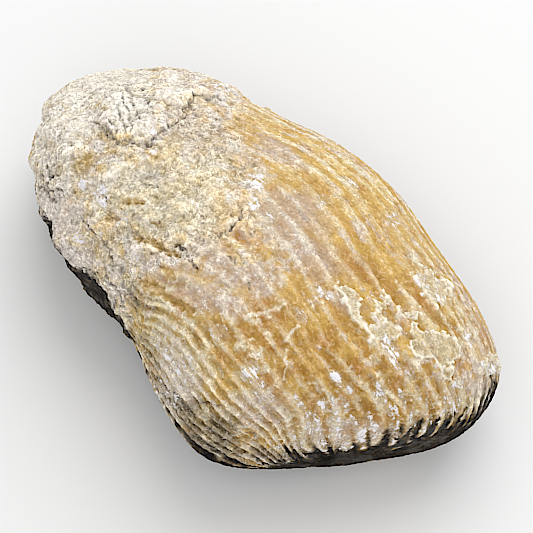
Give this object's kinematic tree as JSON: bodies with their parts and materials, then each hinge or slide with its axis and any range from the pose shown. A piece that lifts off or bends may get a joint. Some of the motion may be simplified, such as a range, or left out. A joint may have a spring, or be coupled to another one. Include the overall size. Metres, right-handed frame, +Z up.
{
  "type": "fossil bivalve",
  "caption": "Fossil clam with both valves shut, a ribbed rounded end and a blunt end under pitted sandy crust, lying on a small flat spot.",
  "frame": {"origin": "middle of the bounding box in plan, at the height of the flat spot it rests on", "axes": "+X along the shell towards its rounded ribbed end, +Y towards the edge where the valves opened, +Z up"},
  "size_m": [0.0794, 0.0484, 0.0282],
  "materials": {
    "fossil_stone": "rough ochre and cream stone with chalky crests and amber grooves"
  },
  "bodies": {
    "root": {"fossil_bivalve": "fossil_stone"}
  },
  "joints": []
}
